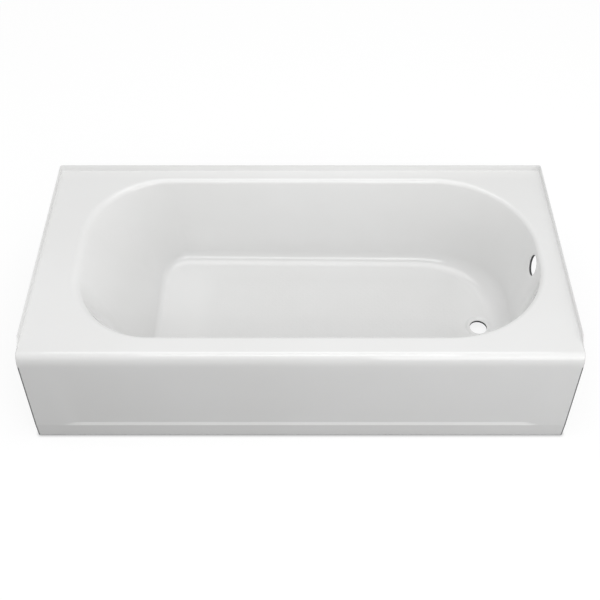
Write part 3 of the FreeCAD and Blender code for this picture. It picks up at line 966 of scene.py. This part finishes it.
@dataclass
class EnamelShell:
    """The enamelled pressing: basin, deck, tile flange and apron as one sheet.

    A vertex's row is 0 in the deck and the basin, FLANGE_ROW in the flange and 1 or more in the
    apron, counted down from the deck.
    """

    FLANGE_ROW = -1

    form: BasinForm
    half_length: float = 0.762
    front: float = -0.381
    back: float = 0.381
    sheet: float = 0.002
    edge_bevel: float = 0.0005
    deck_spot: tuple = (-0.70, 0.0)     # a place on the deck, beside the backrest
    deck_share: float = 0.02            # of the deck's width, outside its first ring
    mouth_margin: float = 0.0025        # from the mouth to the deck's last ring
    flange_top: float = 0.391
    flange_bend: float = 0.0035
    flange_steps: int = 10
    flange_shares: tuple = (0.1, 0.45, 0.45)
    flange_front_full: float = -0.319   # the flange slopes up to its full height here
    slope_margin: float = 0.03          # faces cut for the slope reach this far behind it
    tray_front: float = -0.345          # the deck's rings end here and the apron's rows start
    tray_corner: float = 0.002
    corner_turn: float = 0.07           # half the share of a ring's corner that is on the arc
    rim_roll: tuple = (0.021, 0.038)    # radii of the front roll, across and down
    roll_steps: int = 14
    setback: float = 0.010              # the apron's foot stands this far behind the rim,
    band_setback: float = 0.005         # and the top of its plain band this far
    band: float = 0.056
    foot_bend: float = 0.003
    foot_steps: int = 8
    foot_reach: float = 0.008           # first row of the foot return, in front of its end
    end_bend: float = 0.003
    end_steps: int = 8
    end_inset: float = 0.0015
    panel: tuple = (-0.668, 0.674, 0.310)
    panel_fade: float = 0.025
    panel_ledge: float = 0.010
    panel_depth: float = 0.0042
    panel_softness: float = 0.06
    face_depth: float = 0.02            # rows this near the front are the apron's face
    upper_rows: tuple = (0.322, 0.316, 0.310, 0.304, 0.295)
    panel_rows: tuple = (0.275, 0.0225, 9)      # top row, pitch and number
    ledge_rows: tuple = (0.0715, 0.001, 20)     # the same
    band_rows: tuple = (0.044, 0.030, 0.015)
    profile: Rows = field(default_factory=list)

    @property
    def side(self) -> float:
        """Where the deck starts to bend up into the end flanges."""
        return self.half_length - self.sheet - self.flange_bend

    @property
    def rear(self) -> float:
        """Where the deck starts to bend up into the back flange."""
        return self.back - self.sheet - self.flange_bend

    def deck_edge(self, quarter: int, part: float) -> Vector:
        """Point of the flat deck's outer ring, which is round at the back and square in front.

        Args:
            quarter: The corner, as in Plan.corner.
            part: Place round it, from 0 to 1.

        Returns:
            The point.
        """
        form = self.form
        centre = form.mouth.corner(quarter)[0]
        x = self.side if quarter in (0, 3) else -self.side
        y = self.rear if quarter in (0, 1) else self.tray_front
        radius = self.tray_corner if quarter in (0, 1) else 0.0
        inner = Vector((x - math.copysign(radius, x), y - math.copysign(radius, y), form.deck))
        turn = self.corner_turn
        if 0.5 - turn <= part <= 0.5 + turn:
            angle = math.radians(90.0 * (quarter + (part - 0.5 + turn) / (2 * turn)))
            return inner + Vector((math.cos(angle), math.sin(angle), 0)) * radius
        on_end = Vector((x, centre.y, form.deck))
        on_side = Vector((centre.x, y, form.deck))
        starts = (on_end, on_side) if quarter in (0, 2) else (on_side, on_end)
        first = part < 0.5
        reached = starts[0] if first else starts[1]
        angle = math.radians(90.0 * (quarter + (0 if first else 1)))
        corner = inner + Vector((math.cos(angle), math.sin(angle), 0)) * radius
        share = part / (0.5 - turn) if first else (1 - part) / (0.5 - turn)
        return reached.lerp(corner, share)

    def outward(self, point: Vector) -> Vector:
        """Finds the direction in plan from the deck out through the flange.

        Args:
            point: A place on the deck's edge or on the flange.

        Returns:
            The direction, of length 1.
        """
        corner = self.side - self.tray_corner
        behind = self.rear - self.tray_corner
        if abs(point.x) > corner and point.y > behind:
            aside = point.x - math.copysign(corner, point.x)
            return Vector((aside, point.y - behind, 0)).normalized()
        if abs(point.x) >= self.side - HAIR:
            return Vector((math.copysign(1.0, point.x), 0, 0))
        return Vector((0, 1, 0))

    def meets_flange(self, vertex: bmesh.types.BMVert) -> bool:
        """Says whether a vertex is on the deck's edge at its back or at one of its ends.

        Args:
            vertex: A vertex of the sheet.

        Returns:
            True on those edges.
        """
        place = vertex.co
        on_deck = place.z > self.form.deck - NEAR
        in_front = place.y < self.tray_front + NEAR and abs(place.x) < self.side - NEAR
        at_end = abs(place.x) > self.side - self.tray_corner - NEAR
        return on_deck and not in_front and (at_end or place.y > self.rear - NEAR)

    def meets_apron(self, vertex: bmesh.types.BMVert) -> bool:
        """Says whether a vertex is on the deck's front edge.

        Args:
            vertex: A vertex of the sheet.

        Returns:
            True on that edge.
        """
        place = vertex.co
        in_line = abs(place.y - self.tray_front) < NEAR and abs(place.z - self.form.deck) < NEAR
        return in_line and abs(place.x) <= self.side + NEAR

    def grow_flange(self, sheet: Sheet) -> None:
        """Bends the deck up into the flange along both ends and the back.

        Args:
            sheet: The pressing so far.
        """
        sheet.select(self.meets_flange)
        for out, rise in quarter_bend(self.flange_bend, self.flange_steps):
            sheet.grow(lambda _, old: old + self.outward(old) * out + Vector((0, 0, rise)),
                       self.FLANGE_ROW)
        rest = self.flange_top - self.form.deck - self.flange_bend
        for share in self.flange_shares:
            sheet.grow(lambda _, old: old + Vector((0, 0, rest * share)), self.FLANGE_ROW)
        self.slope_flange_ends(sheet)

    def slope_flange_ends(self, sheet: Sheet) -> None:
        """Cuts the front ends of the flange to a slope from the deck up to its full height.

        Args:
            sheet: The pressing so far.
        """
        mesh = sheet.mesh
        rows = mesh.verts.layers.int["row"]
        last = self.flange_front_full + self.slope_margin
        for face in mesh.faces:
            wanted = any(vertex[rows] == self.FLANGE_ROW for vertex in face.verts)
            face.select_set(wanted and face.calc_center_median().y < last)
        bmesh.update_edit_mesh(sheet.piece.data)
        rise = self.flange_top - self.form.deck
        run = self.flange_front_full - self.tray_front
        bpy.ops.mesh.bisect(plane_co=(0, self.tray_front, self.form.deck + HAIR),
                            plane_no=(0, -rise, run), clear_outer=True)

    def roll_rows(self, top: float, lean: float) -> Rows:
        """Rows down the front roll, which is deeper than it is wide.

        Args:
            top: Height at which the roll ends.
            lean: Angle by which the panel below it leans back.

        Returns:
            Pairs of a point and the outward direction there.
        """
        roll, drop = self.rim_roll
        rows = []
        turn = RIGHT_ANGLE + lean
        for step in range(1, self.roll_steps + 1):
            angle = turn * step / self.roll_steps
            out = Vector((0, -math.sin(angle), math.cos(angle)))
            place = math.atan2(roll * out.y, drop * out.z)
            y = self.front + roll + roll * math.sin(place)
            rows.append((Vector((0, y, top + drop * math.cos(place))), out))
        return rows

    def face_rows(self, lean: float, foot_lean: float) -> Rows:
        """Rows down the apron's face, closest together at the ledge over its band.

        Args:
            lean: Angle by which the panel leans back.
            foot_lean: Angle by which the band leans back.

        Returns:
            Pairs of a point and the outward direction there.
        """
        heights = list(self.upper_rows)
        for top, pitch, number in (self.panel_rows, self.ledge_rows):
            heights += [top - pitch * step for step in range(number)]
        heights += self.band_rows
        front = self.front + self.band_setback
        rows = []
        for height in heights:
            tilt = lean if height > self.band else foot_lean
            y = front + (self.band - height) * math.tan(tilt)
            rows.append((Vector((0, y, height)), Vector((0, -math.cos(tilt), -math.sin(tilt)))))
        return rows

    def foot_rows(self, foot_lean: float) -> Rows:
        """Rows round the bend at the apron's foot and along its flat return.

        Args:
            foot_lean: Angle by which the band leans back.

        Returns:
            Pairs of a point and the outward direction there.
        """
        bend, down = self.foot_bend, Vector((0, 0, -1))
        front = self.front + self.band_setback
        y = front + (self.band - bend) * math.tan(foot_lean) + bend
        rows = []
        for step in range(self.foot_steps + 1):
            angle = foot_lean + (RIGHT_ANGLE - foot_lean) * step / self.foot_steps
            out = Vector((0, -math.cos(angle), -math.sin(angle)))
            rows.append((Vector((0, y, bend)) + out * bend, out))
        rows.append((Vector((0, self.tray_front - self.foot_reach, 0)), down))
        rows.append((Vector((0, self.tray_front, 0)), down))
        return rows

    def apron_profile(self) -> Rows:
        """Points of the plain apron from the deck's edge to the end of its foot return.

        Returns:
            Pairs of a point and the outward direction there, both with X zero.
        """
        deck, (roll, drop) = self.form.deck, self.rim_roll
        top = deck - drop
        lean = math.atan2(self.band_setback, top - self.band)
        foot_lean = math.atan2(self.setback - self.band_setback, self.band)
        start = (Vector((0, self.front + roll, deck)), Vector((0, 0, 1)))
        return [start, *self.roll_rows(top, lean), *self.face_rows(lean, foot_lean),
                *self.foot_rows(foot_lean)]

    def pressed_in(self, x: float, z: float) -> float:
        """How far the soft-edged panel is pressed in at a place on the apron.

        Args:
            x: Place along the apron.
            z: Height of the place.

        Returns:
            The depth, 0 outside the panel.
        """
        left, right, top = self.panel
        ridge = self.band + self.panel_ledge
        slopes = [(z - self.band) / self.panel_ledge, (top - z) / (top - ridge),
                  (x - left) / self.panel_fade, (right - x) / self.panel_fade]
        return self.panel_depth * max(0.0, soft_least(slopes, self.panel_softness))

    def apron_point(self, x: float, plain: Vector) -> Vector:
        """Point of the apron with its panel pressed in.

        Args:
            x: Place along the apron.
            plain: The point of the plain apron's profile.

        Returns:
            The point.
        """
        on_face = plain.y < self.front + self.face_depth
        return Vector((x, plain.y + self.pressed_in(x, plain.z) * on_face, plain.z))

    def grow_apron(self, sheet: Sheet) -> None:
        """Draws the apron out of the deck's front edge, and its end returns out of the apron.

        Args:
            sheet: The pressing so far.
        """
        self.profile = self.apron_profile()
        mesh = sheet.mesh
        station = mesh.verts.layers.int["station"]
        along = {vertex[station]: vertex.co.x for vertex in mesh.verts if self.meets_apron(vertex)}
        sheet.select(self.meets_apron)
        for row, (point, _) in enumerate(self.profile, start=1):
            sheet.grow(lambda number, _: self.apron_point(along[number], point), row)
        for sign in (-1, 1):
            self.grow_return(sheet, sign)

    def grow_return(self, sheet: Sheet, sign: int) -> None:
        """Bends one end of the apron back and closes it with the flat end return.

        Args:
            sheet: The pressing so far.
            sign: -1 for the left end and 1 for the right one.
        """
        rows = sheet.mesh.verts.layers.int["row"]
        sheet.select(lambda vertex: abs(vertex.co.x - sign * self.side) < NEAR
                     and vertex.co.y < self.tray_front + NEAR and vertex[rows] >= 0)
        outs = [Vector((0, 0, 1))] + [out for _, out in self.profile]
        flat = self.half_length - self.end_bend - self.side
        sheet.grow(lambda _, old: old + Vector((sign * flat, 0, 0)))
        for out, sink in quarter_bend(self.end_bend, self.end_steps):
            sheet.grow(lambda row, old: old + Vector((sign * out, 0, 0)) - outs[row] * sink)
        bpy.ops.mesh.remove_doubles(threshold=DOUBLES)
        bpy.ops.mesh.edge_face_add()
        bpy.ops.mesh.inset(thickness=self.end_inset, depth=0.0)

    def build(self) -> bpy.types.Object:
        """Builds the whole pressing with its thickness, holes and softened edges.

        Returns:
            The finished piece.
        """
        form = self.form
        edge, mouth = form.round_corners(self.deck_edge), form.wall_ring(Arc.ROLL, 0.0)
        sheet = Sheet("enamel_shell", edge)
        rows = [[a.lerp(b, self.deck_share) for a, b in zip(edge, mouth)]]
        rows.append([b + (a - b).normalized() * self.mouth_margin for a, b in zip(edge, mouth)])
        for ring in rows + form.rings():
            sheet.grow(lambda number, _: ring[number], 0)
        self.grow_flange(sheet)
        self.grow_apron(sheet)
        piece = sheet.close(Vector((*self.deck_spot, form.deck)))
        apply_modifier(piece, "SOLIDIFY", thickness=self.sheet, offset=-1.0, use_even_offset=True)
        form.pierce(piece)
        soften_edges(piece, self.edge_bevel)
        shade_smooth(piece)
        return piece


@dataclass
class BasinBacking:
    """The composite bonded under the basin, with its sprayed skin and moulded floor ribs."""

    form: BasinForm
    sheet: float = EnamelShell.sheet
    composite: float = 0.006
    top: float = 0.350
    edge_bevel: float = 0.001
    floor_spot: tuple = (0.0, 0.0145, 0.04)     # a place in the middle of the floor
    ribs: tuple = (-0.1975, -0.0975, 0.1265, 0.2265)
    rib_ends: tuple = (-0.390, 0.440)
    rib: float = 0.008
    rib_bevel: float = 0.002

    def build(self) -> bpy.types.Object:
        """Builds the backing as a wall of even thickness under the enamelled sheet.

        Returns:
            The finished piece.
        """
        depth = self.sheet + self.composite
        rings = self.form.rings(depth)
        sheet = Sheet("basin_backing_skin", rings[0])
        for ring in rings[1:]:
            sheet.grow(lambda number, _: ring[number], 0)
        bpy.ops.mesh.select_all(action="SELECT")
        bpy.ops.mesh.bisect(plane_co=(0, 0, self.top), plane_no=(0, 0, 1), clear_outer=True)
        piece = sheet.close(Vector(self.floor_spot))
        apply_modifier(piece, "SOLIDIFY", thickness=self.composite, offset=1.0,
                       use_even_offset=True)
        self.form.pierce(piece)
        soften_edges(piece, self.edge_bevel)
        for y in self.ribs:
            self.add_rib(piece, y, depth)
        shade_smooth(piece)
        return piece

    def add_rib(self, piece: bpy.types.Object, y: float, depth: float) -> None:
        """Joins one rib, which follows the fall of the floor, to the backing.

        Args:
            piece: The backing.
            y: The rib's place across the bath.
            depth: How far the backing's underside lies under the visible floor.
        """
        select_none()
        low, high = self.rib_ends
        bpy.ops.mesh.primitive_cube_add(size=1.0, location=((low + high) / 2, y, 0))
        rib = bpy.context.object
        for vertex in rib.data.vertices:
            x = low if vertex.co.x < 0 else high
            base = self.form.floor_height(x) - depth
            z = base - self.rib if vertex.co.z < 0 else base + self.composite / 2
            vertex.co = Vector((x, y + math.copysign(self.rib / 2, vertex.co.y), z))
        rib.location = (0, 0, 0)
        apply_modifier(rib, "BEVEL", width=self.rib_bevel, segments=3)
        activate(piece)
        rib.select_set(True)
        bpy.ops.object.join()


# -------------------------------------------------------------------------------------------------
# Studio
# -------------------------------------------------------------------------------------------------


@dataclass(frozen=True)
class Softbox:
    """One soft rectangular lamp."""

    name: str
    place: tuple
    aim: tuple
    size: tuple
    power: float

    def build(self) -> None:
        """Adds the lamp, turned towards its aim."""
        light = bpy.data.lights.new(self.name, "AREA")
        light.shape = "RECTANGLE"
        light.size, light.size_y = self.size
        light.energy = self.power
        lamp = bpy.data.objects.new(self.name, light)
        lamp.location = self.place
        towards = Vector(self.aim) - Vector(self.place)
        lamp.rotation_euler = towards.to_track_quat("-Z", "Y").to_euler()
        bpy.context.scene.collection.objects.link(lamp)


@dataclass
class Studio:
    """Pale floor, even sky, soft lamps and the camera at the photograph's angle."""

    camera_place: tuple = (0.0, -2.1237, 2.5201)
    tilt_down: float = 44.132                   # degrees
    sensor: float = 36.0                        # millimetres
    focal_pixels: float = 1033.96               # focal length in pixels of the photograph
    middle: tuple = (300.4, 233.13)             # pixel that the lens looks straight at
    sky: float = 0.615
    floor_size: float = 40.0
    floor_level: float = -0.0002
    floor_bounce: float = 0.25                  # the floor's tone in the light it gives back,
    floor_shadow: float = 0.20                  # its tone to the camera, which takes the shadow,
    floor_glow: float = 0.84                    # and the glow that lifts that to white
    contact_reach: float = 0.010                # painted contact shadow: the glow fades this close to the bath's foot
    lamps: tuple = (
        Softbox("overhead_lamp", (0.0, 0.0, 2.6), (0.0, 0.0, 0.3), (2.5, 1.5), 17.0),
        Softbox("front_lamp", (1.8, -3.0, 2.4), (0.0, 0.0, 0.2), (2.2, 2.2), 13.5),
        Softbox("near_lamp", (1.3, -2.6, 0.7), (0.3, -0.3, 0.2), (2.0, 1.3), 13.2),
        Softbox("rim_lamp", (0.0, -2.36, 2.34), (0.0, -0.38, 0.36), (1.7, 1.1), 11.8),
    )

    def build_floor(self) -> None:
        """Adds the floor, which shows white with the bath's shadow and gives back softer light."""
        select_none()
        bpy.ops.mesh.primitive_plane_add(size=self.floor_size, location=(0, 0, self.floor_level))
        floor = bpy.context.object
        floor.name = "studio_floor"
        graph = Graph("studio_floor_paint")
        tree = graph.tree
        seen = graph.node("LightPath").outputs["Is Camera Ray"]
        tone = graph.mixed(seen, (self.floor_bounce,) * 3, (self.floor_shadow,) * 3)
        matt = graph.node("BsdfDiffuse", {0: tone})
        # Painted contact shadow: ambient occlusion dims the floor's glow close to the bath's foot.
        near = graph.node("AmbientOcclusion", {"Distance": self.contact_reach}).outputs["AO"]
        lit = graph.math("MULTIPLY", graph.math("MULTIPLY", seen, near), self.floor_glow)
        glow = graph.node("Emission", {0: (1, 1, 1, 1), 1: lit})
        both = graph.node("AddShader", {0: matt.outputs[0], 1: glow.outputs[0]})
        tree.links.new(both.outputs[0], tree.nodes["Material Output"].inputs[0])
        tree.nodes.remove(graph.shader)
        floor.data.materials.append(graph.material)

    def build_sky(self) -> None:
        """Sets an even sky that looks white to the camera and lights at a plain level."""
        world = bpy.data.worlds.new("studio_sky")
        bpy.context.scene.world = world
        world.use_nodes = True
        tree = world.node_tree
        background = tree.nodes["Background"]
        background.inputs[0].default_value = (1, 1, 1, 1)
        path = tree.nodes.new("ShaderNodeLightPath")
        level = tree.nodes.new("ShaderNodeMapRange")
        level.inputs[3].default_value = self.sky
        level.inputs[4].default_value = 1.0
        tree.links.new(path.outputs["Is Camera Ray"], level.inputs[0])
        tree.links.new(level.outputs[0], background.inputs[1])

    def build_camera(self) -> None:
        """Adds the camera, with the lens shifted as the photograph is cropped."""
        lens = bpy.data.cameras.new("camera")
        lens.sensor_fit = "HORIZONTAL"
        lens.sensor_width = self.sensor
        lens.lens = lens.sensor_width * self.focal_pixels / PHOTO_SIDE
        lens.shift_x = (PHOTO_SIDE / 2 - self.middle[0]) / PHOTO_SIDE
        lens.shift_y = (self.middle[1] - PHOTO_SIDE / 2) / PHOTO_SIDE
        camera = bpy.data.objects.new("camera", lens)
        camera.location = self.camera_place
        camera.rotation_euler = (math.radians(90.0 - self.tilt_down), 0, 0)
        bpy.context.scene.collection.objects.link(camera)
        bpy.context.scene.camera = camera

    def build(self) -> None:
        """Builds the whole studio."""
        self.build_floor()
        self.build_sky()
        for lamp in self.lamps:
            lamp.build()
        self.build_camera()
        bpy.context.scene.view_settings.view_transform = "Standard"


# Nodes that show as they are, by the start of their name. The first that fits counts.
NODE_SLOTS = {
    "deck_backing": Slot.COMPOSITE,
    "apron_backing": Slot.COMPOSITE,
    "apron_rail": Slot.GALVANISED,
    "apron_brace": Slot.GALVANISED,
    "floor_foam": Slot.FOAM,
    "foot_pad": Slot.PAD,
    "foot": Slot.FOOT,
}


def main() -> None:
    """Builds the bath in order and reports each piece."""
    logging.basicConfig(level=logging.INFO, format="%(name)s: %(message)s")
    form = BasinForm()
    finishes = Finishes()
    for assembly, node, slot in ((EnamelShell(form), "tub_shell", Slot.ENAMEL),
                                 (BasinBacking(form), "basin_backing", Slot.COMPOSITE)):
        piece = assembly.build()
        finishes.dress(piece, slot)
        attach(piece, "root")
        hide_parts(node)
        log.info("%s: %d faces", piece.name, len(piece.data.polygons))
    for name, node in sorted(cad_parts.items()):
        for prefix, slot in NODE_SLOTS.items():
            if name.startswith(prefix):
                finishes.dress(node, slot)
                log.info("%s dressed in %s", name, slot.value)
                break
    Studio().build()


if __name__ == "__main__":
    main()
